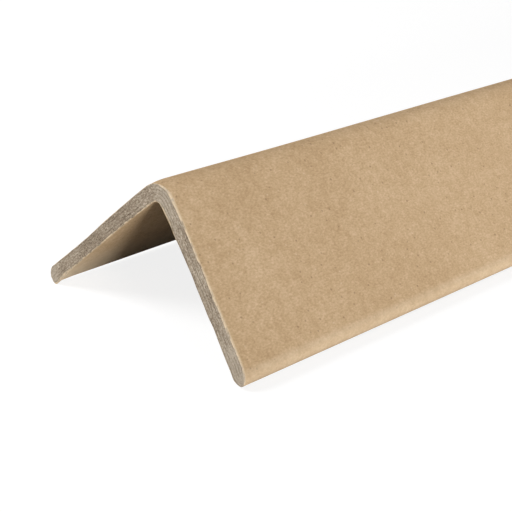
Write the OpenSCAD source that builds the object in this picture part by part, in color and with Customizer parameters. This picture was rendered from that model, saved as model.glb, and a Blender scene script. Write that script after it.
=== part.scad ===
// Pallet edge protector: a right-angle board of laminated paper, folded along its length.
// Millimetres, +Z up. The fold runs along Y with its outer side up, so the board stands on its two leg edges.
// The origin is under the fold, half way along the board, on the surface that the board stands on.

/* [Board] */
// Length of the board along its fold, measured at the leg edges
board_length = 300; // [60:10:2400]
// Width of each leg, from the corner line where the outer faces would meet to the leg's edge
leg_width = 50; // [30:1:120]
// Thickness of the laminated board
thickness = 3.8; // [2:0.1:8]

/* [Fold] */
// Angle between the inner faces of the two legs
fold_angle = 90; // [75:1:120]
// Radius of the fold on its inner side
fold_inner_radius = 2.7; // [0.5:0.1:8]

/* [Leg edges] */
// Radius where the wrapping paper turns in from the outer face, less on a board too thin for it
edge_outer_radius = 2.2; // [0.5:0.1:2.8]
// Narrow flat left between the two rounded corners of each leg's edge
edge_flat = 0.3; // [0.1:0.1:0.5]

/* [Near end] */
// Lean of the end's cut from square, with the top of the fold set back
near_cut_lean = 8; // [0:0.5:15]

/* [Hidden] */
$fn = 96;
kraft_brown = [0.77, 0.65, 0.50];

// Greatest part of the thickness that the outer rounding of a leg's edge may take
edge_share = 0.75;
// Distance that a cutting shape stands past the face it cuts
overcut = 1;

// Each leg slopes down from the fold at this angle from the vertical
leg_slope = fold_angle / 2;
// The inner and outer curves of the fold share one centre
fold_outer_radius = fold_inner_radius + thickness;
// Distance along a leg from the corner line to where the fold's curve ends
fold_reach = fold_outer_radius / tan(leg_slope);
// Width of a leg past the fold's curve
leg_straight = leg_width - fold_reach;

edge_outer_round = min(edge_outer_radius, edge_share * thickness);
edge_inner_round = thickness - edge_outer_round - edge_flat;

// Height of the corner line over the lowest point of the leg edges' inner rounding
corner_height = (leg_width - edge_inner_round) * cos(leg_slope)
    + (thickness - edge_inner_round) * sin(leg_slope)
    + edge_inner_round;

// Extra length that the near end's cut takes away
cut_allowance = 10;
// Side of the block that makes the near end's cut, wider and taller than the whole section
cut_block = 3 * leg_width;

// What rounding takes off a square corner at the origin that opens towards +X and +Y
module corner_waste(radius) {
    difference() {
        translate([-overcut, -overcut]) square(radius + overcut);
        translate([radius, radius]) circle(radius);
    }
}

// A leg's section past the fold: the end of the fold's curve at the origin, the outer face along +X
module leg_section() {
    difference() {
        translate([0, -thickness]) square([leg_straight, thickness]);
        translate([leg_straight, 0]) rotate(180) corner_waste(edge_outer_round);
        translate([leg_straight, -thickness]) rotate(90) corner_waste(edge_inner_round);
    }
}

// The fold's section from the same origin, a quarter turn on towards -X
module fold_section() {
    translate([0, -fold_outer_radius]) intersection() {
        difference() {
            circle(fold_outer_radius);
            circle(fold_inner_radius);
        }
        translate([-2 * fold_outer_radius, 0]) square(2 * fold_outer_radius);
    }
}

// The +X half of the whole section, with the fold on top and the corner line at the origin
module half_section() {
    intersection() {
        rotate(leg_slope - 90) translate([fold_reach, 0]) {
            leg_section();
            fold_section();
        }
        translate([0, -2 * leg_width]) square(4 * leg_width);
    }
}

module board_section() {
    for (side = [0, 1]) {
        mirror([side, 0]) half_section();
    }
}

// What the near end's cut takes away, starting from the leg edges' contact with the surface
module near_end_waste() {
    translate([0, -board_length / 2, 0]) rotate([-near_cut_lean, 0, 0])
        translate([0, -cut_block / 2, 0]) cube(cut_block, center = true);
}

module angle_board() {
    color(kraft_brown) difference() {
        translate([0, board_length / 2, corner_height]) rotate([90, 0, 0])
            linear_extrude(height = board_length + cut_allowance) board_section();
        near_end_waste();
    }
}

angle_board();
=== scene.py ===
"""Pallet edge protector: a folded angle board of laminated paper, sawn to length, standing on a pale floor.

Laid out as an add-on and run as a script. Lengths are in metres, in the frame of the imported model.
"""

import math
from collections import namedtuple

import bpy
import numpy as np
from bpy.props import FloatProperty, FloatVectorProperty, IntProperty, PointerProperty
from mathutils import Color, Matrix, Vector


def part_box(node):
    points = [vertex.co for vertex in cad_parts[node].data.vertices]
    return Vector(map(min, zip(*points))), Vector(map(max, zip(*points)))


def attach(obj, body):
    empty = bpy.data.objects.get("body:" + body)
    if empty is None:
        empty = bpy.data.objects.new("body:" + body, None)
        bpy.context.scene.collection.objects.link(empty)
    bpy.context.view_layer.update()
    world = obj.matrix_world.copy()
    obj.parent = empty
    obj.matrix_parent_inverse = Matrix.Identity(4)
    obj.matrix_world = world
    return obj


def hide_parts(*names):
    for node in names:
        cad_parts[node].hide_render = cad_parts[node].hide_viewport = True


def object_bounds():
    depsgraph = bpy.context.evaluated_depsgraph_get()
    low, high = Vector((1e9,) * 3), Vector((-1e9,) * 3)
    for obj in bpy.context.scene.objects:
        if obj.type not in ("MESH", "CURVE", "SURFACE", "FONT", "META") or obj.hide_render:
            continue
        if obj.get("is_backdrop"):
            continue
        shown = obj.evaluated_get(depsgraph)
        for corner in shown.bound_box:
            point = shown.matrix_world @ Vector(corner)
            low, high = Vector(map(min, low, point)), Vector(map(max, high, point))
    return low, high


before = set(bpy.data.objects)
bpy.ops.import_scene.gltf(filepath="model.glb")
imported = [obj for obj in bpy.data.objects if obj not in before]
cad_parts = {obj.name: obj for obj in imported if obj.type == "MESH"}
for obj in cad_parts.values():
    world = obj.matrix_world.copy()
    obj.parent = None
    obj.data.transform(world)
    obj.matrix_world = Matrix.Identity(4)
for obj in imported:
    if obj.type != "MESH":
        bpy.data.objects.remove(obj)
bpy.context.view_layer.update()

bl_info = {
    "name": "Pallet Edge Protector",
    "version": (1, 0, 0),
    "blender": (4, 5, 0),
    "location": "3D View > Sidebar > Edge Protector",
    "description": "Builds a folded board of laminated paper and the studio that it stands in",
    "category": "Object",
}

BOARD_NODE = "angle_board"
BOARD_BODY = "root"
BOARD_NAME = "laminated_angle_board"
BOARD_LOW, BOARD_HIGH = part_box(BOARD_NODE)

MILLIMETRE = 0.001
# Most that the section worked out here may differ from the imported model's box
BOX_TOLERANCE = 0.1 * MILLIMETRE

# Mesh spacing: columns run across the two legs, rows through the thickness, stations along the board
FOLD_COLUMNS = 14
LEG_COLUMNS = 160
LEG_EDGE_COLUMNS = 8
LEG_EDGE_SHARE = 0.025
PLY_ROWS = 38
FACE_ROW_DEPTH = 0.025 * MILLIMETRE
END_STATIONS = np.array([0, 0.12, 0.3, 0.55, 0.85, 1.2, 1.6, 2.2, 3.0, 4.0, 5.5, 7.5, 10.0]) * MILLIMETRE
STATION_PITCH = 8.0 * MILLIMETRE
SHARP_ANGLE = math.radians(55)

# Names of the values that the mesh carries for its materials, with run and depth in millimetres
RUN = "ply_run"
DEPTH = "ply_depth"
RIM = "rim_share"
GROOVE = "ply_groove"
# How far the saw polished the plies, with painted light over the right leg
SMEAR_AND_LIGHT = "saw_smear"
# Pale paint along the wrapping paper's edges, standing in for highlight and light
PAINTED_EDGE_LIGHT = "edge_rub"
LINER_INDEX = 0
SAWN_INDEX = 1

# Brightest value of a colour as it shows on screen
BRIGHTEST = 255
# Digits that the sidebar shows after the point of a length in metres
LENGTH_DIGITS = 5


def shade(red, green, blue):
    """A colour written as it shows on screen, 0 to 255, in the linear values that Blender holds."""
    shown = Color((red, green, blue)) / BRIGHTEST
    return tuple(shown.from_srgb_to_scene_linear())


def length(name, description, default):
    return FloatProperty(
        name=name,
        description=description,
        default=default,
        min=0.0,
        precision=LENGTH_DIGITS,
        unit="LENGTH",
        subtype="DISTANCE",
    )


def angle(name, description, default):
    return FloatProperty(name=name, description=description, default=math.radians(default), subtype="ANGLE")


def share(name, description, default):
    return FloatProperty(
        name=name,
        description=description,
        default=default,
        min=0.0,
        max=1.0,
        subtype="FACTOR",
    )


def power(name, description, default):
    return FloatProperty(name=name, description=description, default=default, min=0.0, unit="POWER")


def place(name, description, default):
    return FloatVectorProperty(
        name=name,
        description=description,
        default=default,
        size=3,
        precision=LENGTH_DIGITS,
        unit="LENGTH",
        subtype="XYZ",
    )


def colour(name, description, red, green, blue):
    return FloatVectorProperty(
        name=name,
        description=description,
        default=shade(red, green, blue),
        min=0.0,
        max=1.0,
        size=3,
        subtype="COLOR",
    )


class BoardSizes(bpy.types.PropertyGroup):
    """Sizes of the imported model's section, and of the slight swells, waves and spring of the board."""

    leg_width: length("Leg width", "From the corner line of the outer faces to a leg's edge", 0.050)
    thickness: length("Thickness", "Thickness of the laminated board", 0.0038)
    fold_angle: angle("Fold angle", "Between the inner faces of the two legs", 90)
    fold_inner_radius: length("Fold radius", "Radius of the fold on its inner side", 0.0027)
    edge_outer_radius: length("Edge radius", "Where the wrapping paper turns in from the outer face", 0.0022)
    edge_flat: length("Edge flat", "Narrow flat between the two rounded corners of a leg's edge", 0.0003)
    near_cut_lean: angle("Near cut lean", "Lean of the near end's cut from square", 8)
    fold_swell: length("Fold swell", "How far the plies bunch up inside the fold", 0.00042)
    fold_swell_run: length("Fold swell run", "How far across each leg the bunching reaches", 0.017)
    face_wave: length("Face wave", "Height of the slow waves that drying leaves in the board", 0.00006)
    wave_pitch: length("Wave pitch", "Distance over which the board's waves change", 0.026)
    leg_spring: length("Leg spring", "How far the left leg's edge springs out between the ends", 0.0005)
    leg_spring_run: length("Leg spring run", "How far from an end the whole spring is reached", 0.05)
    seed: IntProperty(name="Seed", description="Start of the random draws", default=41, min=0)


class SawnEnd(bpy.types.PropertyGroup):
    """What the saw leaves at the two ends of the board."""

    liner_thickness: length("Liner", "Thickness of the kraft paper wrapped round the plies", 0.00036)
    core_plies: IntProperty(name="Plies", description="Sheets of board between the liners", default=4, min=1)
    groove_depth: length("Groove depth", "Depth of the glue lines that open between the plies", 0.00010)
    groove_width: length("Groove width", "Half width of such a glue line", 0.00010)
    ply_step: length("Ply step", "How far single plies stand proud or sink back", 0.00005)
    fibre_height: length("Fibre height", "Height of the torn fibres", 0.00003)
    rim_chamfer: length("Rim chamfer", "How far the liner is worn back at the cut", 0.00003)
    rim_fray: length("Rim fray", "How uneven the liner's cut edge is", 0.00005)
    rim_roll: length("Rim roll", "How far the saw rolled the liner's edge back", 0.00014)
    end_swell: length("End swell", "How much thicker the legs' outer parts are at the near cut", 0.0002)
    end_swell_run: length("End swell run", "How far along the board swells, burr and tip wear reach", 0.006)
    saw_burr: length("Saw burr", "Burr inside the right leg where the saw left the board", 0.0002)
    burr_seed: IntProperty(name="Burr seed", description="Start of the burr's random draws", default=7, min=0)
    lip: length("Lip", "Burr inside the left leg's edge at the near cut", 0.0005)
    lip_run: length("Lip run", "How far along the board the lip and the tip push reach", 0.0016)
    tip_wear: length("Tip wear", "What is worn off inside the right leg's edge at the near cut", 0.00095)
    tip_push: length("Tip push", "How far the saw drew out the left leg's edge at the near cut", 0.00025)
    nose_wear: length("Nose wear", "What is worn off outside the right leg's edge at the near cut", 0.0006)
    nose_wear_run: length("Nose wear run", "How far along the board that wear reaches", 0.003)
    fold_wear: length("Fold wear", "What is worn off the left of the fold at the near cut", 0.00012)
    fold_wear_run: length("Fold wear run", "How far along the board that wear reaches", 0.0025)
    fold_pinch: length("Fold pinch", "How much thicker the right leg is below the fold at the cut", 0.00022)
    right_bow: length("Right bow", "How far the right leg bows out at the near cut", 0.00014)
    left_bow: length("Left bow", "How far the left leg's outer face bows in or out at the near cut", 0.0002)
    bow_run: length("Bow run", "How far along the board the bows reach", 0.03)
    fold_crown: length("Fold crown", "How far the fold stands proud close behind the near cut", 0.00026)
    fold_crown_run: length("Fold crown run", "How far along the board the crown reaches", 0.05)


class PaperColours(bpy.types.PropertyGroup):
    """Colours of the wrapping paper and of the plies inside it."""

    kraft: colour("Kraft", "Middle tone of the wrapping paper", 199, 169, 132)
    kraft_dark: colour("Kraft dark", "Darker fibre of the wrapping paper", 180, 149, 112)
    kraft_pale: colour("Kraft pale", "Paler fibre of the wrapping paper", 218, 190, 155)
    bark_speck: colour("Bark speck", "Small dark specks in the wrapping paper", 141, 111, 78)
    pale_speck: colour("Pale speck", "Bleached fibres in the wrapping paper", 232, 211, 182)
    core: colour("Core", "Middle tone of the sawn plies", 160, 144, 125)
    core_dark: colour("Core dark", "Dark fibre and glue lines of the sawn plies", 109, 94, 77)
    core_pale: colour("Core pale", "Pale torn fibre of the sawn plies", 208, 194, 174)
    # Pale colour of the polished plies, also painted over the right leg's plies as light
    smeared_and_lit: colour("Smeared and lit", "Where the saw polished the plies", 188, 174, 156)
    # Painted highlight: pale colour laid along the leg edges and sawn ends, and as painted light on the inner
    # face towards the leg edges
    edge_light_paint: colour("Edge light paint", "Wrapping paper rubbed pale along its edges", 230, 208, 177)
    liner_edge: colour("Liner edge", "Cut edge of the wrapping paper", 229, 207, 175)


class StageSettings(bpy.types.PropertyGroup):
    """Camera, floor and lamps."""

    camera_lens: FloatProperty(
        name="Lens", description="Focal length on a sensor 36 mm wide", default=92.617, min=1.0, unit="CAMERA"
    )
    camera_azimuth: angle("Azimuth", "How far the camera stands round to the right of the near end", 44.262)
    camera_elevation: angle("Elevation", "How far the camera looks down", 24.703)
    camera_roll: angle("Roll", "How far the camera is rolled", 3.338)
    camera_distance: length("Distance", "From the camera to the point it looks at", 0.320)
    camera_aim: place("Aim", "Point that the camera looks at", (0.00097, -0.11451, 0.00909))
    floor_width: length("Floor width", "Side of the floor", 1.4)
    floor: colour("Floor", "Floor as the board sees it", 150, 150, 150)
    floor_glow: share("Floor glow", "Brightness that the floor keeps in the deepest shadow", 0.84)
    floor_fade: length("Floor fade", "How far from the middle the floor starts to turn white", 0.26)
    floor_light: share("Floor light", "Brightness that the lamps add to the floor", 0.25)
    sky: FloatProperty(name="Sky", description="Strength of the light from all round", default=0.05, min=0.0)
    key_power: power("Key power", "Low lamp on the right", 7.3)
    key_place: place("Key place", "Where the right lamp stands", (1.03, -0.28, 0.15))
    key_aim: place("Key aim", "Where the right lamp points", (0.0, 0.55, 0.02))
    key_width: length("Key width", "Side of the right lamp", 0.42)
    key_spread: angle("Key spread", "How wide the right lamp shines", 115)
    fill_power: power("Fill power", "Lamp in front, high on the left", 11.6)
    fill_place: place("Fill place", "Where the front lamp hangs", (-0.60, -0.72, 0.70))
    back_power: power("Back power", "Lamp behind the far end", 3.5)
    back_place: place("Back place", "Where the back lamp hangs", (0.05, 1.15, 0.33))
    soft_width: length("Soft width", "Side of the front and back lamps", 0.55)


Section = namedtuple("Section", "x z out_x out_z run depth rim side")


def edge_inner_radius(sizes):
    """Radius where a leg's edge meets its inner face."""
    return sizes.thickness - sizes.edge_outer_radius - sizes.edge_flat


def corner_height(sizes):
    """Height of the line where the outer faces would meet, over the lowest point of the leg edges."""
    slope = sizes.fold_angle / 2
    inner_round = edge_inner_radius(sizes)
    along = (sizes.leg_width - inner_round) * math.cos(slope)
    through = (sizes.thickness - inner_round) * math.sin(slope)
    return along + through + inner_round


def edge_reach(sizes, depth):
    """How far from the corner line the rounded edge of a leg lies, at each depth under the outer face."""
    outer = sizes.edge_outer_radius
    inner = edge_inner_radius(sizes)
    to_outer = np.clip(outer - depth, 0, outer)
    to_inner = np.clip(depth - (sizes.thickness - inner), 0, inner)
    outer_loss = outer - np.sqrt(outer**2 - to_outer**2)
    inner_loss = inner - np.sqrt(inner**2 - to_inner**2)
    return sizes.leg_width - outer_loss - inner_loss


def rim_distance(sizes, out, depth):
    """How far points of a leg's section lie from the board's surface."""
    outer = sizes.edge_outer_radius
    inner = edge_inner_radius(sizes)
    nearest = np.minimum(np.minimum(depth, sizes.thickness - depth), sizes.leg_width - out)
    for radius, under in ((outer, depth), (inner, sizes.thickness - depth)):
        past = out - (sizes.leg_width - radius)
        short = radius - under
        rounded = (past > 0) & (short > 0)
        nearest = np.where(rounded, np.minimum(nearest, radius - np.hypot(past, short)), nearest)
    return np.clip(nearest, 0, None)


def row_depths(sizes):
    """Depths of the rows under the outer face, with one more row close under each face."""
    even = np.linspace(0, sizes.thickness, PLY_ROWS + 1)
    close = [FACE_ROW_DEPTH, sizes.thickness - FACE_ROW_DEPTH]
    return np.sort(np.concatenate([even, close]))


def half_section(sizes):
    """The right half of the section, from the middle of the fold to the leg's edge, as columns by rows."""
    slope = sizes.fold_angle / 2
    depth = row_depths(sizes)[None, :]
    corner = corner_height(sizes)
    fold_radius = sizes.fold_inner_radius + sizes.thickness
    fold_reach = fold_radius / math.tan(slope)
    fold_turn = math.pi / 2 - slope

    turn = np.linspace(0, fold_turn, FOLD_COLUMNS + 1)[:-1, None]
    fold_x = (fold_radius - depth) * np.sin(turn)
    fold_z = corner - fold_radius / math.sin(slope) + (fold_radius - depth) * np.cos(turn)
    fold_rim = np.minimum(depth, sizes.thickness - depth) + 0 * turn

    body = np.linspace(0, 1 - LEG_EDGE_SHARE, LEG_COLUMNS)
    edge = np.linspace(1 - LEG_EDGE_SHARE, 1, LEG_EDGE_COLUMNS + 1)[1:]
    along = np.concatenate([body, edge])[:, None]
    out = fold_reach + along * (edge_reach(sizes, depth) - fold_reach)
    leg_x = out * math.sin(slope) - depth * math.cos(slope)
    leg_z = corner - out * math.cos(slope) - depth * math.sin(slope)

    facing = np.concatenate([turn, np.full_like(along, fold_turn)]) + 0 * depth
    run = np.concatenate([fold_radius * turn + 0 * depth, fold_radius * fold_turn + out - fold_reach])
    return Section(
        x=np.concatenate([fold_x, leg_x]),
        z=np.concatenate([fold_z, leg_z]),
        out_x=np.sin(facing),
        out_z=np.cos(facing),
        run=run,
        depth=depth + 0 * facing,
        rim=np.concatenate([fold_rim, rim_distance(sizes, out, depth)]),
        side=np.ones_like(facing),
    )


def whole_section(sizes):
    """Both halves of the section, from the left leg's edge to the right leg's."""
    right = half_section(sizes)
    mirrored = right._replace(x=-right.x, out_x=-right.out_x, run=-right.run, side=-right.side)
    return Section(*(np.concatenate([left[:0:-1], same]) for left, same in zip(mirrored, right)))


def check_section(section):
    """Stops the build if the section isn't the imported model's."""
    found = (section.x.min(), section.x.max(), section.z.min(), section.z.max())
    wanted = (BOARD_LOW.x, BOARD_HIGH.x, BOARD_LOW.z, BOARD_HIGH.z)
    if max(abs(a - b) for a, b in zip(found, wanted)) > BOX_TOLERANCE:
        raise RuntimeError(f"the board's section {found} doesn't fill the packed model's box {wanted}")


def station_places():
    """Distances of the mesh's stations from the near end, closest together at both ends."""
    whole = BOARD_HIGH.y - BOARD_LOW.y
    inner = whole - 2 * END_STATIONS[-1]
    middle = np.linspace(0, inner, round(inner / STATION_PITCH) + 1)[1:-1] + END_STATIONS[-1]
    return np.concatenate([END_STATIONS, middle, whole - END_STATIONS[::-1]])


def ease(value):
    """A ramp from 0 to 1 with soft ends."""
    held = np.clip(value, 0, 1)
    return held * held * (3 - 2 * held)


def fade(value):
    """A ramp from 1 to 0 with soft ends."""
    return 1 - ease(value)


def hump(value, centre, width):
    """A smooth hump of height 1 about a centre."""
    return np.exp(-(((value - centre) / width) ** 2))


def blend(start, end, part):
    return start * (1 - part) + end * part


def soft_noise(rng, first, second, first_pitch, second_pitch):
    """Random values from -1 to 1 at pairs of places, which change smoothly over the two pitches."""
    first = (first - first.min()) / first_pitch
    second = (second - second.min()) / second_pitch
    low_first = np.floor(first).astype(int)
    low_second = np.floor(second).astype(int)
    knots = rng.uniform(-1, 1, (low_first.max() + 2, low_second.max() + 2))
    part_first = ease(first - low_first)
    part_second = ease(second - low_second)
    before = blend(knots[low_first, low_second], knots[low_first + 1, low_second], part_first)
    after = blend(knots[low_first, low_second + 1], knots[low_first + 1, low_second + 1], part_first)
    return blend(before, after, part_second)


def to_leg_edge(section):
    """How far across the paper each point is from its leg's edge."""
    return np.abs(section.run).max() - np.abs(section.run)


def to_nearest_end(from_near):
    """How far along the board each station is from the nearer end."""
    return np.minimum(from_near, from_near.max() - from_near)


# Where the plies are paler, as shares of the full pale colour: polished by the saw, and painted light over
# the right leg
FOLD_SMEAR = 0.6
FOLD_SMEAR_CENTRE = 1.0 * MILLIMETRE
FOLD_SMEAR_WIDTH = 7.0 * MILLIMETRE
# Painted light: the right leg's plies painted paler, as if lit more from the right
RIGHT_PAINTED_LIGHT = 0.35
RIGHT_PAINTED_LIGHT_START = -2.0 * MILLIMETRE
RIGHT_PAINTED_LIGHT_RUN = 6.0 * MILLIMETRE
TIP_SMEAR = 0.45
TIP_SMEAR_WIDTH = 22.0 * MILLIMETRE
NOSE_SMEAR = 0.55
NOSE_SMEAR_WIDTH = 5.0 * MILLIMETRE


def smear_and_painted_light(section):
    """Where the plies are paler: polished by the saw over the fold and, less, towards the leg edges, and
    painted light, also less, over the right leg.
    """
    to_edge = to_leg_edge(section)
    fold = FOLD_SMEAR * hump(section.run, FOLD_SMEAR_CENTRE, FOLD_SMEAR_WIDTH)
    right = RIGHT_PAINTED_LIGHT * ease((section.run - RIGHT_PAINTED_LIGHT_START) / RIGHT_PAINTED_LIGHT_RUN)
    tip = TIP_SMEAR * fade(to_edge / TIP_SMEAR_WIDTH)
    nose = NOSE_SMEAR * np.where(section.side < 0, fade(to_edge / NOSE_SMEAR_WIDTH), 0)
    return np.clip(fold + right + tip + nose, 0, 1)


# Where the wrapping paper is painted pale as light, as shares of the full pale paint: a painted highlight
# along the outer leg edges and the sawn ends, and painted light on the inner face towards the leg edges
OUTER_HIGHLIGHT = 0.34
OUTER_HIGHLIGHT_WIDTH = 2.0 * MILLIMETRE
OUTER_HIGHLIGHT_FADE = 1.6 * MILLIMETRE
INNER_LIGHT_REACH = 20.0 * MILLIMETRE
# Shares of the thickness over which the outer painted highlight turns into the inner painted light
LIGHT_TURN_START = 0.45
LIGHT_TURN_RUN = 0.5
# Painted highlight on the wrapping paper's rim at the sawn ends, right of the fold, with less painted light
# inside
END_HIGHLIGHT = 0.8
END_HIGHLIGHT_REACH = 0.65 * MILLIMETRE
END_HIGHLIGHT_INSIDE = 0.3
END_HIGHLIGHT_START = 0.5 * MILLIMETRE
END_HIGHLIGHT_RUN = 4.0 * MILLIMETRE


def leg_edge_painted_light(sizes, section):
    """Where the wrapping paper is painted pale along the leg edges: a painted highlight on the outer face,
    and painted light further in on the inner face.
    """
    to_edge = to_leg_edge(section)
    outer = OUTER_HIGHLIGHT * fade((to_edge - OUTER_HIGHLIGHT_WIDTH) / OUTER_HIGHLIGHT_FADE)
    inner = fade(to_edge / INNER_LIGHT_REACH)
    through = section.depth / sizes.thickness
    return outer + (inner - outer) * ease((through - LIGHT_TURN_START) / LIGHT_TURN_RUN)


def end_painted_highlight(sizes, section):
    """Where the wrapping paper is painted pale at its sawn ends: a painted highlight right of the fold, and
    less painted light inside.
    """
    inside = section.depth > sizes.thickness / 2
    kept = np.where(inside, END_HIGHLIGHT_INSIDE, ease((section.run - END_HIGHLIGHT_START) / END_HIGHLIGHT_RUN))
    from_end = to_nearest_end(station_places())
    return END_HIGHLIGHT * kept[:, :, None] * fade(from_end / END_HIGHLIGHT_REACH)


# Plies, glue lines and torn fibre of a sawn end
PLY_BEND = 0.16 * MILLIMETRE
PLY_BEND_PITCH = 7.0 * MILLIMETRE
PLY_STEP_RUN = 5.0 * MILLIMETRE
ONE_PLY = 1.0
GROOVE_RUN = 3.0 * MILLIMETRE
# A glue line opens where its random opening times the gain passes the loss
GROOVE_GAIN = 2.2
GROOVE_LOSS = 0.5
# Glue lines of the left leg open less
LEFT_GROOVE = 0.65
FIBRE_RUN = 0.55 * MILLIMETRE
FIBRE_DEPTH = 0.32 * MILLIMETRE
# What is left of the relief where the saw polished it and where the right leg's plies are painted light
SMEAR_RELIEF = 0.75


def ply_relief(saw, sizes, section, rng):
    """How far the sawn plies sink back at each point, and how open the glue line there is."""
    core = sizes.thickness - 2 * saw.liner_thickness
    pitch = core / saw.core_plies
    bend = PLY_BEND * soft_noise(rng, section.run, section.depth, PLY_BEND_PITCH, sizes.thickness)
    level = (section.depth - saw.liner_thickness + bend) / pitch
    ply = np.clip(np.floor(level), -1, saw.core_plies)
    line = np.round(level)
    gap = np.abs(level - line) * pitch
    opening = (1 + soft_noise(rng, section.run, line, GROOVE_RUN, ONE_PLY)) / 2
    on_side = np.where(section.side < 0, LEFT_GROOVE, 1.0)
    groove = hump(gap, 0, saw.groove_width) * ease(GROOVE_GAIN * opening - GROOVE_LOSS) * on_side
    step = soft_noise(rng, section.run, ply, PLY_STEP_RUN, ONE_PLY)
    fibre = soft_noise(rng, section.run, section.depth, FIBRE_RUN, FIBRE_DEPTH)
    return saw.groove_depth * groove + saw.ply_step * step + saw.fibre_height * fibre, groove


# How far in the liner's cut edge is rolled back, in shares of the liner's thickness
ROLL_REACH = 1.2
ROLL_VARIES = 0.45
ROLL_PITCH = 2.6 * MILLIMETRE
# The outside of the left leg is rolled back less
ENTRY_ROLL = 0.4
# Beside the fold, outside the right leg, the liner is rolled back over more of the cut
SHOULDER_REACH = 0.7
SHOULDER_RUN = 4.6 * MILLIMETRE
SHOULDER_WIDTH = 2.6 * MILLIMETRE
# So it is inside the left leg, towards its edge
TIP_ROLL = 1.1
TIP_ROLL_START = 4.0 * MILLIMETRE
TIP_ROLL_WIDTH = 16.0 * MILLIMETRE
# Inside the right leg it is torn away
TORN_RIM_START = 10.0 * MILLIMETRE
TORN_RIM_RUN = 8.0 * MILLIMETRE
# Share of the rim past which only plies show, and how the plies' relief starts under the liner
RIM_LIMIT = 2.0
RIM_GAIN = 1.4
RIM_LOSS = 0.5
# Distance over which the liner's frayed edge changes
FRAY_PITCH = 0.8 * MILLIMETRE


def rolled_rim(saw, sizes, section, rng):
    """Depth under the surface in shares of the liner's rolled edge, and how far that edge sinks back."""
    varied = 1 + ROLL_VARIES * soft_noise(rng, section.run, section.depth, ROLL_PITCH, sizes.thickness / 2)
    outside = section.depth < sizes.thickness / 2
    left = section.side < 0
    to_edge = to_leg_edge(section)
    shoulder = SHOULDER_REACH * hump(section.run, SHOULDER_RUN, SHOULDER_WIDTH)
    by_tip = ease(to_edge / TIP_ROLL_START) * fade(to_edge / TIP_ROLL_WIDTH)
    widened = np.where(outside, shoulder, TIP_ROLL * np.where(left, by_tip, 0))
    entry = np.where(outside & left, ENTRY_ROLL, 1.0)
    reach = saw.liner_thickness * (ROLL_REACH * varied * entry + widened)
    rim = np.clip(section.rim / reach, 0, RIM_LIMIT)
    return rim, saw.rim_roll * entry * fade(rim)


def sawn_relief(saw, sizes, section, rng):
    """How far a sawn end sinks back, how open its glue lines are and the share of the rim, at each point."""
    relief, groove = ply_relief(saw, sizes, section, rng)
    rim, roll = rolled_rim(saw, sizes, section, rng)
    quiet = 1 - (1 - SMEAR_RELIEF) * smear_and_painted_light(section)
    under_liner = ease(RIM_GAIN * rim - RIM_LOSS)
    inside = section.depth >= sizes.thickness / 2
    torn = np.where(inside, ease((section.run - TORN_RIM_START) / TORN_RIM_RUN), 0)
    sunk = relief * quiet * under_liner + roll
    opened = groove * quiet * under_liner
    return sunk, opened, rim + (RIM_LIMIT - rim) * torn


# Burrs, wear and bows of the board, mostly at its near end
END_SWELL_REACH = 16.0 * MILLIMETRE
BURR_START = 6.0 * MILLIMETRE
BURR_PITCH = 3.2 * MILLIMETRE
BURR_VARIES = 0.7
LIP_REACH = 5.0 * MILLIMETRE
PUSH_REACH = 3.0 * MILLIMETRE
TIP_WEAR_REACH = 2.6 * MILLIMETRE
NOSE_WEAR_REACH = 4.5 * MILLIMETRE
FOLD_WEAR_CENTRE = -3.8 * MILLIMETRE
FOLD_WEAR_WIDTH = 4.0 * MILLIMETRE
FOLD_CROWN_CENTRE = -2.8 * MILLIMETRE
FOLD_CROWN_WIDTH = 5.0 * MILLIMETRE
FOLD_CROWN_START = 4.0 * MILLIMETRE
FOLD_PINCH_CENTRE = 5.5 * MILLIMETRE
FOLD_PINCH_WIDTH = 3.0 * MILLIMETRE
# The left leg bows out below the fold and in towards its edge
LEFT_BOW_PLACES = np.array([0, 6, 22, 30, 36, 48]) * MILLIMETRE
LEFT_BOW_SHARES = (0, 0.4, 0.4, -1.0, -1.0, 0)


def swelling(sizes, saw, section, from_near):
    """How far the inner face stands in from its plain section, at each point and station."""
    run = section.run[:, :, None]
    across = np.abs(run)
    to_edge = to_leg_edge(section)[:, :, None]
    near = fade(from_near / saw.end_swell_run)
    fold = sizes.fold_swell * fade(across / sizes.fold_swell_run)
    end = saw.end_swell * fade(to_edge / END_SWELL_REACH) * near
    pinch = saw.fold_pinch * hump(run, FOLD_PINCH_CENTRE, FOLD_PINCH_WIDTH) * near
    worn = saw.tip_wear * fade(to_edge / TIP_WEAR_REACH) * near
    rng = np.random.default_rng(saw.burr_seed)
    uneven = 1 + BURR_VARIES * soft_noise(rng, section.run, section.depth, BURR_PITCH, sizes.thickness)
    burr = saw.saw_burr * uneven[:, :, None] * ease(across / BURR_START) * near
    lip = saw.lip * fade(to_edge / LIP_REACH) * fade(from_near / saw.lip_run)
    return fold + end + pinch + np.where(section.side[:, :, None] > 0, burr - worn, lip)


def outer_wear(saw, section, from_near):
    """How far the outer face is worn back, at each point and station, less the fold's crown."""
    run = section.run[:, :, None]
    to_edge = to_leg_edge(section)[:, :, None]
    over_fold = hump(run, FOLD_WEAR_CENTRE, FOLD_WEAR_WIDTH)
    fold = saw.fold_wear * over_fold * fade(from_near / saw.fold_wear_run)
    nose = saw.nose_wear * fade(to_edge / NOSE_WEAR_REACH) * fade(from_near / saw.nose_wear_run)
    behind = ease(from_near / FOLD_CROWN_START) * fade(from_near / saw.fold_crown_run)
    crown = saw.fold_crown * hump(run, FOLD_CROWN_CENTRE, FOLD_CROWN_WIDTH) * behind
    return fold - crown + np.where(section.side[:, :, None] > 0, nose, 0)


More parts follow.
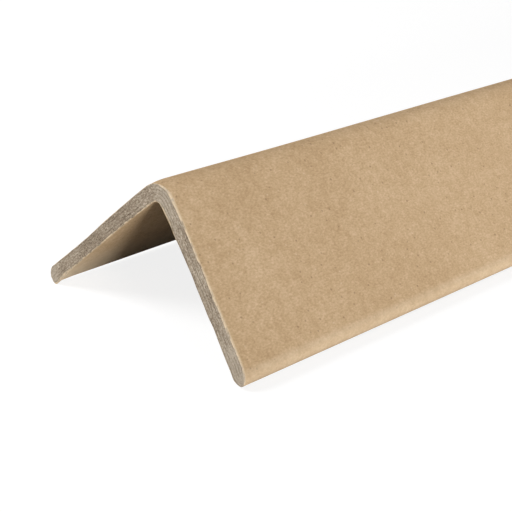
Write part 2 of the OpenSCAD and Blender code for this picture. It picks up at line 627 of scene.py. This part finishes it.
def leg_bow(sizes, saw, section, from_near):
    """How far the legs stand out from their plain section, at each point and station."""
    across = np.abs(section.run)
    whole = across.max()
    right = saw.right_bow * np.sin(math.pi * across / whole)
    line = np.interp(across, LEFT_BOW_PLACES, LEFT_BOW_SHARES)
    left = saw.left_bow * line * (1 - section.depth / sizes.thickness)
    bow = np.where(section.side > 0, right, left)[:, :, None] * fade(from_near / saw.bow_run)
    spring = np.where(section.side > 0, 0, sizes.leg_spring * across / whole)[:, :, None]
    return bow + spring * ease(to_nearest_end(from_near) / sizes.leg_spring_run)


def board_points(sizes, saw, section):
    """The whole lattice of points, columns by rows by stations, and the marks of the saw on the two ends."""
    rng = np.random.default_rng(sizes.seed)
    whole = BOARD_HIGH.y - BOARD_LOW.y
    from_near = station_places()[None, None, :] + 0 * section.x[:, :, None]
    near_y = (BOARD_LOW.y + section.z * math.tan(sizes.near_cut_lean))[:, :, None]
    y = near_y + (BOARD_HIGH.y - near_y) * from_near / whole

    run = section.run[:, :, None] + 0 * y
    wave = sizes.face_wave * soft_noise(rng, run, y, sizes.wave_pitch, 2 * sizes.wave_pitch)
    through = (section.depth / sizes.thickness)[:, :, None]
    swell = swelling(sizes, saw, section, from_near) * through
    wear = outer_wear(saw, section, from_near) * (1 - through)
    bow = leg_bow(sizes, saw, section, from_near)
    inward = np.where(section.depth == 0, -1.0, np.where(section.depth == sizes.thickness, 1.0, 0.0))
    chamfer = saw.rim_chamfer * (to_nearest_end(from_near) == 0) * inward[:, :, None]
    outward = wave - swell - wear + bow + chamfer
    drawn = np.where(section.side < 0, fade(to_leg_edge(section) / PUSH_REACH), 0)
    push = saw.tip_push * drawn[:, :, None] * fade(from_near / saw.lip_run)
    along_x = (section.side * section.out_z)[:, :, None]
    along_z = (-section.side * section.out_x)[:, :, None]
    x = section.x[:, :, None] + section.out_x[:, :, None] * outward + along_x * push
    z = section.z[:, :, None] + section.out_z[:, :, None] * outward + along_z * push

    marks = []
    for station, away in ((0, 1), (-1, -1)):
        relief, groove, rim = sawn_relief(saw, sizes, section, rng)
        fray = soft_noise(rng, section.run, section.depth, FRAY_PITCH, sizes.thickness / 2)
        ragged = saw.rim_fray * fray * fade(rim)
        y[:, :, station] += away * (relief + ragged)
        marks.append((station, groove, rim))
    return np.stack([x, y, z], axis=-1), marks


def side_quads(numbers, flip):
    """Quads over a grid of vertex numbers."""
    first, second = numbers[:-1, :-1], numbers[1:, :-1]
    third, fourth = numbers[1:, 1:], numbers[:-1, 1:]
    order = (first, fourth, third, second) if flip else (first, second, third, fourth)
    return np.stack([part.ravel() for part in order], axis=1)


def board_mesh(sizes, saw):
    """The board as one closed mesh, with the values that its materials read."""
    section = whole_section(sizes)
    check_section(section)
    points, marks = board_points(sizes, saw, section)
    columns, rows, stations = points.shape[:3]
    shown = np.ones((columns, rows, stations), bool)
    shown[1:-1, 1:-1, 1:-1] = False
    numbers = np.full(shown.shape, -1)
    numbers[shown] = np.arange(shown.sum())

    paper = [
        side_quads(numbers[:, 0, :], False),
        side_quads(numbers[:, -1, :], True),
        side_quads(numbers[0, :, :], True),
        side_quads(numbers[-1, :, :], False),
    ]
    sawn = [side_quads(numbers[:, :, 0], True), side_quads(numbers[:, :, -1], False)]
    quads = np.concatenate(paper + sawn)
    paper_count = sum(len(part) for part in paper)

    mesh = bpy.data.meshes.new(BOARD_NAME)
    mesh.from_pydata(points[shown].tolist(), [], quads.tolist())
    slots = np.full(len(quads), LINER_INDEX, dtype=np.int32)
    slots[paper_count:] = SAWN_INDEX
    mesh.polygons.foreach_set("material_index", slots)
    mesh.polygons.foreach_set("use_smooth", np.ones(len(quads), dtype=bool))
    mesh.set_sharp_from_angle(angle=SHARP_ANGLE)

    carried = {
        RUN: section.run / MILLIMETRE,
        DEPTH: section.depth / MILLIMETRE,
        SMEAR_AND_LIGHT: smear_and_painted_light(section),
        PAINTED_EDGE_LIGHT: leg_edge_painted_light(sizes, section),
    }
    nothing = np.zeros(shown.shape)
    layers = {name: values[:, :, None] + nothing for name, values in carried.items()}
    # The painted highlight at the sawn ends joins the painted light along the leg edges
    layers[PAINTED_EDGE_LIGHT] = np.maximum(layers[PAINTED_EDGE_LIGHT], end_painted_highlight(sizes, section))
    layers[GROOVE] = nothing.copy()
    layers[RIM] = nothing.copy()
    for station, groove, rim in marks:
        layers[GROOVE][:, :, station] = groove
        layers[RIM][:, :, station] = rim
    for name, values in layers.items():
        layer = mesh.attributes.new(name, "FLOAT", "POINT")
        layer.data.foreach_set("value", values[shown].astype(np.float32))
    if mesh.validate():
        raise RuntimeError("the board's mesh had faces that aren't valid")
    mesh.update()
    return mesh


Grain = namedtuple("Grain", "scale detail roughness")
Speck = namedtuple("Speck", "scale radius core share")
Finish = namedtuple("Finish", "specular bump bump_height")

WHITE = (1.0, 1.0, 1.0, 1.0)
# Middle value of a noise, and the values where its darkest and palest tones start
MIDDLE = 0.5
TONE_LOW = 0.22
TONE_HIGH = 0.78
# Where the mix node has its amount, its two colours and its result
MIX_AMOUNT = 0
MIX_UNDER = 6
MIX_OVER = 7
MIX_RESULT = 2


def put(tree, kind, sockets, **settings):
    """Adds a node, with its settings, and gives each named socket its value or its link."""
    made = tree.nodes.new(kind)
    for name, value in settings.items():
        setattr(made, name, value)
    for name, value in sockets.items():
        if isinstance(value, bpy.types.NodeSocket):
            tree.links.new(value, made.inputs[name])
        else:
            made.inputs[name].default_value = value
    return made


def reckon(tree, operation, *values):
    """The result of a math operation on sockets and numbers."""
    return put(tree, "ShaderNodeMath", dict(enumerate(values)), operation=operation).outputs[0]


def weigh(tree, weights):
    """The weighted sum of some noises about their middle value, itself about the middle value."""
    total = None
    for socket, weight in weights:
        middle = MIDDLE * weight
        offset = MIDDLE - middle if total is None else reckon(tree, "SUBTRACT", total, middle)
        total = reckon(tree, "MULTIPLY_ADD", socket, weight, offset)
    return total


def ramp(tree, socket, start, end):
    """A soft step from 0 to 1 as the socket goes from start to end."""
    sockets = {"Value": socket, "From Min": start, "From Max": end}
    return put(tree, "ShaderNodeMapRange", sockets, interpolation_type="SMOOTHSTEP").outputs[0]


def paint(tree, amount, under, over):
    """One colour laid over another by an amount."""
    sockets = {MIX_AMOUNT: amount, MIX_UNDER: with_alpha(under), MIX_OVER: with_alpha(over)}
    return put(tree, "ShaderNodeMix", sockets, data_type="RGBA").outputs[MIX_RESULT]


def with_alpha(value):
    return value if isinstance(value, bpy.types.NodeSocket) else (*value, 1.0)


def tones(tree, amount, dark, middle, pale):
    """A colour from dark through middle to pale as the amount goes from low to high."""
    made = put(tree, "ShaderNodeValToRGB", {"Fac": amount})
    stops = made.color_ramp.elements
    stops[0].position, stops[0].color = TONE_LOW, (*dark, 1.0)
    stops[1].position, stops[1].color = TONE_HIGH, (*pale, 1.0)
    centre = stops.new(MIDDLE)
    centre.color = (*middle, 1.0)
    return made.outputs[0]


def noise(tree, place_socket, grain):
    """A noise of the given grain."""
    sockets = {
        "Vector": place_socket,
        "Scale": grain.scale,
        "Detail": grain.detail,
        "Roughness": grain.roughness,
    }
    return put(tree, "ShaderNodeTexNoise", sockets).outputs[0]


def specks(tree, place_socket, speck):
    """Small soft spots, in a share of the cells of a random pattern."""
    cells = put(tree, "ShaderNodeTexVoronoi", {"Vector": place_socket, "Scale": speck.scale})
    spot = ramp(tree, cells.outputs["Distance"], speck.radius, speck.radius * speck.core)
    split = put(tree, "ShaderNodeSeparateColor", {0: cells.outputs["Color"]})
    chosen = reckon(tree, "GREATER_THAN", split.outputs[0], 1 - speck.share)
    return reckon(tree, "MULTIPLY", spot, chosen)


def stretched(tree, socket, scale):
    """Coordinates scaled by different amounts along the three axes."""
    return put(tree, "ShaderNodeMapping", {"Vector": socket, "Scale": scale}).outputs[0]


def carried_value(tree, name):
    return put(tree, "ShaderNodeAttribute", {}, attribute_name=name).outputs["Fac"]


def new_tree(name):
    """A new material and its empty node tree."""
    material = bpy.data.materials.new(name)
    material.use_nodes = True
    material.node_tree.nodes.clear()
    return material, material.node_tree


def matt_surface(tree, base, roughness, height, finish):
    """Ends a material with a matt surface, whose finest relief comes from a height."""
    relief = {"Height": height, "Strength": finish.bump, "Distance": finish.bump_height}
    sockets = {
        "Base Color": base,
        "Roughness": roughness,
        "Normal": put(tree, "ShaderNodeBump", relief).outputs[0],
        "Specular IOR Level": finish.specular,
    }
    surface = put(tree, "ShaderNodeBsdfPrincipled", sockets)
    put(tree, "ShaderNodeOutputMaterial", {"Surface": surface.outputs[0]})


# Patterns of the wrapping paper, in cells per metre
CLOUD = Grain(scale=42.0, detail=2.0, roughness=0.5)
MOTTLE = Grain(scale=420.0, detail=3.0, roughness=0.55)
FIBRE_GRAIN = Grain(scale=2400.0, detail=3.0, roughness=0.6)
FIBRE_STRETCH = (1.0, 0.6, 1.0)
CLOUD_WEIGHT = 0.30
MOTTLE_WEIGHT = 0.42
FIBRE_WEIGHT = 0.93
BARK = Speck(scale=620.0, radius=0.24, core=0.3, share=0.30)
BLEACHED = Speck(scale=560.0, radius=0.19, core=0.2, share=0.22)
BARK_STRENGTH = 0.62
BLEACHED_STRENGTH = 0.40
# How strongly the pale edge paint shows as highlight and light, and how unevenly
EDGE_LIGHT_STRENGTH = 1.0
EDGE_LIGHT_EVEN = 0.5
PAPER_ROUGHNESS = (0.80, 0.93)
PAPER_FINISH = Finish(specular=0.05, bump=0.35, bump_height=0.05 * MILLIMETRE)


def kraft_liner(colours):
    """The wrapping paper: matt brown kraft with cloudy formation, fine fibre and small specks, and painted
    highlight and light along its edges.
    """
    material, tree = new_tree("kraft_liner")
    where = put(tree, "ShaderNodeTexCoord", {}).outputs["Object"]
    cloud = noise(tree, where, CLOUD)
    mottle = noise(tree, where, MOTTLE)
    fibre = noise(tree, stretched(tree, where, FIBRE_STRETCH), FIBRE_GRAIN)
    tone = weigh(tree, [(cloud, CLOUD_WEIGHT), (mottle, MOTTLE_WEIGHT), (fibre, FIBRE_WEIGHT)])
    plain = tones(tree, tone, colours.kraft_dark, colours.kraft, colours.kraft_pale)
    bark = reckon(tree, "MULTIPLY", specks(tree, where, BARK), BARK_STRENGTH)
    barked = paint(tree, bark, plain, colours.bark_speck)
    bleached = reckon(tree, "MULTIPLY", specks(tree, where, BLEACHED), BLEACHED_STRENGTH)
    flecked = paint(tree, bleached, barked, colours.pale_speck)
    # Painted highlight and painted light along the edges of the wrapping paper
    edge_light = reckon(tree, "MULTIPLY", carried_value(tree, PAINTED_EDGE_LIGHT), EDGE_LIGHT_STRENGTH)
    uneven = reckon(tree, "MULTIPLY", edge_light, reckon(tree, "ADD", mottle, EDGE_LIGHT_EVEN))
    paper = paint(tree, uneven, flecked, colours.edge_light_paint)
    low, high = PAPER_ROUGHNESS
    rough = reckon(tree, "MULTIPLY_ADD", fibre, high - low, low)
    matt_surface(tree, paper, rough, reckon(tree, "ADD", fibre, mottle), PAPER_FINISH)
    return material


# Patterns of the sawn plies, in cells per millimetre of run and of depth and per metre along the board
STREAK_STRETCH = (1.0, 2.8, 40.0)
STREAK = Grain(scale=1.0, detail=2.0, roughness=0.55)
CRUMB_STRETCH = (2.3, 2.9, 60.0)
CRUMB = Grain(scale=1.0, detail=2.0, roughness=0.5)
PATCH_STRETCH = (0.16, 0.3, 20.0)
PATCH = Grain(scale=1.0, detail=1.0, roughness=0.5)
STREAK_WEIGHT = 0.6
CRUMB_WEIGHT = 0.85
PATCH_WEIGHT = 0.3
PIT = Speck(scale=1.5, radius=0.36, core=0.4, share=0.22)
PIT_SHADE = 0.5
TUFT = Speck(scale=1.7, radius=0.34, core=0.4, share=0.20)
TUFT_SHADE = 0.3
GROOVE_SHADE = 0.75
# The polished plies and the painted light over the right leg lift the tone and lay the pale colour over it
SMEAR_AND_LIGHT_LIFT = 0.20
POLISH_AND_LIGHT = (0.45, 0.9)
POLISH_AND_LIGHT_SHADE = 0.55
LINER_LINE = (0.95, 0.55)
LINER_BREAK = (0.25, 0.65)
LINER_BREAK_STRETCH = (0.9, 0.5, 30.0)
GLUE_LINE = (0.75, 1.0, 1.4)
GLUE_SHADE = 0.3
CORE_ROUGHNESS = 0.95
CORE_FINISH = Finish(specular=0.10, bump=0.5, bump_height=0.06 * MILLIMETRE)


def sawn_plies(colours):
    """The sawn end: grey-brown plies with glue lines, pits and torn fibre, edged by the wrapping paper."""
    material, tree = new_tree("sawn_plies")
    run = carried_value(tree, RUN)
    depth = carried_value(tree, DEPTH)
    rim = carried_value(tree, RIM)
    along = put(tree, "ShaderNodeSeparateXYZ", {0: put(tree, "ShaderNodeTexCoord", {}).outputs["Object"]})
    where = put(tree, "ShaderNodeCombineXYZ", {0: run, 1: depth, 2: along.outputs["Y"]}).outputs[0]
    streak = noise(tree, stretched(tree, where, STREAK_STRETCH), STREAK)
    crumb = noise(tree, stretched(tree, where, CRUMB_STRETCH), CRUMB)
    patch = noise(tree, stretched(tree, where, PATCH_STRETCH), PATCH)
    tone = weigh(tree, [(streak, STREAK_WEIGHT), (crumb, CRUMB_WEIGHT), (patch, PATCH_WEIGHT)])
    # Polished plies, and painted light over the right leg, are paler
    lifted = reckon(tree, "MULTIPLY_ADD", carried_value(tree, SMEAR_AND_LIGHT), SMEAR_AND_LIGHT_LIFT, tone)
    torn = tones(tree, lifted, colours.core_dark, colours.core, colours.core_pale)
    pits = reckon(tree, "MULTIPLY", specks(tree, where, PIT), PIT_SHADE)
    pitted = paint(tree, pits, torn, colours.core_dark)
    tufts = reckon(tree, "MULTIPLY", specks(tree, where, TUFT), TUFT_SHADE)
    tufted = paint(tree, tufts, pitted, colours.core_pale)
    polish_and_light = reckon(tree, "MULTIPLY", ramp(tree, carried_value(tree, SMEAR_AND_LIGHT), *POLISH_AND_LIGHT), POLISH_AND_LIGHT_SHADE)
    polished = paint(tree, polish_and_light, tufted, colours.smeared_and_lit)
    groove = reckon(tree, "MULTIPLY", carried_value(tree, GROOVE), GROOVE_SHADE)
    lined = paint(tree, groove, polished, colours.core_dark)
    start, middle, end = GLUE_LINE
    glue = reckon(tree, "MULTIPLY", ramp(tree, rim, start, middle), ramp(tree, rim, end, middle))
    glued = paint(tree, reckon(tree, "MULTIPLY", glue, GLUE_SHADE), lined, colours.core_dark)
    broken = noise(tree, stretched(tree, where, LINER_BREAK_STRETCH), CRUMB)
    kept = ramp(tree, broken, *LINER_BREAK)
    edge = reckon(tree, "MULTIPLY", ramp(tree, rim, *LINER_LINE), kept)
    wrapped = paint(tree, edge, glued, colours.liner_edge)
    matt_surface(tree, wrapped, CORE_ROUGHNESS, reckon(tree, "ADD", streak, crumb), CORE_FINISH)
    return material


class EDGEBOARD_OT_make_board(bpy.types.Operator):
    """Builds the folded board with its wrapping paper and sawn ends"""

    bl_idname = "edgeboard.make_board"
    bl_label = "Make board"

    def execute(self, context):
        scene = context.scene
        mesh = board_mesh(scene.board_sizes, scene.sawn_end)
        board = bpy.data.objects.new(BOARD_NAME, mesh)
        scene.collection.objects.link(board)
        mesh.materials.append(kraft_liner(scene.paper_colours))
        mesh.materials.append(sawn_plies(scene.paper_colours))
        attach(board, BOARD_BODY)
        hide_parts(BOARD_NODE)
        return {"FINISHED"}


def seen_directly(tree):
    """1 for what the camera sees, also in a shiny or clear surface, and 0 for the light on the object."""
    path = put(tree, "ShaderNodeLightPath", {})
    shown = reckon(tree, "MAXIMUM", path.outputs["Is Camera Ray"], path.outputs["Is Glossy Ray"])
    return reckon(tree, "MAXIMUM", shown, path.outputs["Is Transmission Ray"])


def floor_material(stage):
    """White to the camera apart from the board's soft shadow, and grey to the board."""
    material, tree = new_tree("studio_floor")
    grey = stage.floor_light
    lit = put(tree, "ShaderNodeBsdfDiffuse", {"Color": (grey, grey, grey, 1.0)}).outputs[0]
    where = put(tree, "ShaderNodeTexCoord", {}).outputs["Object"]
    away = put(tree, "ShaderNodeVectorMath", {0: where}, operation="LENGTH").outputs["Value"]
    far = ramp(tree, away, stage.floor_fade, stage.floor_width / 2)
    strength = reckon(tree, "MULTIPLY_ADD", far, 1 - stage.floor_glow, stage.floor_glow)
    glow = put(tree, "ShaderNodeEmission", {"Color": WHITE, "Strength": strength}).outputs[0]
    shown = put(tree, "ShaderNodeAddShader", {0: lit, 1: glow}).outputs[0]
    pale = put(tree, "ShaderNodeBsdfDiffuse", {"Color": (*stage.floor, 1.0)}).outputs[0]
    surface = put(tree, "ShaderNodeMixShader", {0: seen_directly(tree), 1: pale, 2: shown}).outputs[0]
    put(tree, "ShaderNodeOutputMaterial", {"Surface": surface})
    return material


def make_floor(scene, stage):
    half = stage.floor_width / 2
    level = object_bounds()[0].z
    corners = [(-half, -half, level), (half, -half, level), (half, half, level), (-half, half, level)]
    mesh = bpy.data.meshes.new("studio_floor")
    mesh.from_pydata(corners, [], [(0, 1, 2, 3)])
    mesh.materials.append(floor_material(stage))
    floor = bpy.data.objects.new("studio_floor", mesh)
    scene.collection.objects.link(floor)
    floor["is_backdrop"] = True


def make_sky(scene, stage):
    world = bpy.data.worlds.new("studio_sky")
    world.use_nodes = True
    tree = world.node_tree
    tree.nodes.clear()
    light = put(tree, "ShaderNodeBackground", {"Color": WHITE, "Strength": stage.sky}).outputs[0]
    shown = put(tree, "ShaderNodeBackground", {"Color": WHITE, "Strength": 1.0}).outputs[0]
    surface = put(tree, "ShaderNodeMixShader", {0: seen_directly(tree), 1: light, 2: shown}).outputs[0]
    put(tree, "ShaderNodeOutputWorld", {"Surface": surface})
    scene.world = world


def make_lamp(scene, name, watts, spot, width, aim, spread=math.pi):
    lamp = bpy.data.lights.new(name, "AREA")
    lamp.energy = watts
    lamp.shape = "SQUARE"
    lamp.size = width
    lamp.spread = spread
    holder = bpy.data.objects.new(name, lamp)
    holder.location = spot
    holder.rotation_euler = (Vector(aim) - Vector(spot)).to_track_quat("-Z", "Y").to_euler()
    scene.collection.objects.link(holder)


def make_camera(scene, stage):
    lens = bpy.data.cameras.new("studio_camera")
    lens.lens = stage.camera_lens
    camera = bpy.data.objects.new("studio_camera", lens)
    turn = Matrix.Rotation(stage.camera_azimuth, 3, "Z")
    tilt = Matrix.Rotation(math.pi / 2 - stage.camera_elevation, 3, "X")
    roll = Matrix.Rotation(stage.camera_roll, 3, "Z")
    facing = turn @ tilt @ roll
    spot = Vector(stage.camera_aim) + facing.col[2] * stage.camera_distance
    camera.matrix_world = Matrix.Translation(spot) @ facing.to_4x4()
    scene.collection.objects.link(camera)
    scene.camera = camera


SOFT_LAMPS = ("fill", "back")


class EDGEBOARD_OT_make_stage(bpy.types.Operator):
    """Builds the floor, the sky, the lamps and the camera"""

    bl_idname = "edgeboard.make_stage"
    bl_label = "Make stage"

    def execute(self, context):
        scene = context.scene
        stage = scene.stage_settings
        make_floor(scene, stage)
        make_sky(scene, stage)
        make_lamp(
            scene,
            "key_lamp",
            stage.key_power,
            stage.key_place,
            stage.key_width,
            stage.key_aim,
            stage.key_spread,
        )
        for name in SOFT_LAMPS:
            watts = getattr(stage, f"{name}_power")
            spot = getattr(stage, f"{name}_place")
            make_lamp(scene, f"{name}_lamp", watts, spot, stage.soft_width, stage.camera_aim)
        make_camera(scene, stage)
        scene.view_settings.view_transform = "Standard"
        return {"FINISHED"}


class EDGEBOARD_PT_sidebar(bpy.types.Panel):
    """Lists the board's and the stage's operators and settings"""

    bl_idname = "EDGEBOARD_PT_sidebar"
    bl_label = "Edge Protector"
    bl_space_type = "VIEW_3D"
    bl_region_type = "UI"
    bl_category = "Edge Protector"

    def draw(self, context):
        for step in OPERATORS:
            self.layout.operator(step.bl_idname)
        for name in GROUPS:
            group = getattr(context.scene, name)
            column = self.layout.column(heading=name.replace("_", " ").capitalize())
            for setting in group.__annotations__:
                column.prop(group, setting)


OPERATORS = (EDGEBOARD_OT_make_board, EDGEBOARD_OT_make_stage)
GROUPS = {
    "board_sizes": BoardSizes,
    "sawn_end": SawnEnd,
    "paper_colours": PaperColours,
    "stage_settings": StageSettings,
}
CLASSES = (*GROUPS.values(), *OPERATORS, EDGEBOARD_PT_sidebar)


def register():
    for item in CLASSES:
        bpy.utils.register_class(item)
    for name, group in GROUPS.items():
        setattr(bpy.types.Scene, name, PointerProperty(type=group))


def unregister():
    for name in GROUPS:
        delattr(bpy.types.Scene, name)
    for item in reversed(CLASSES):
        bpy.utils.unregister_class(item)


def main():
    register()
    bpy.ops.edgeboard.make_board()
    bpy.ops.edgeboard.make_stage()


if __name__ == "__main__":
    main()
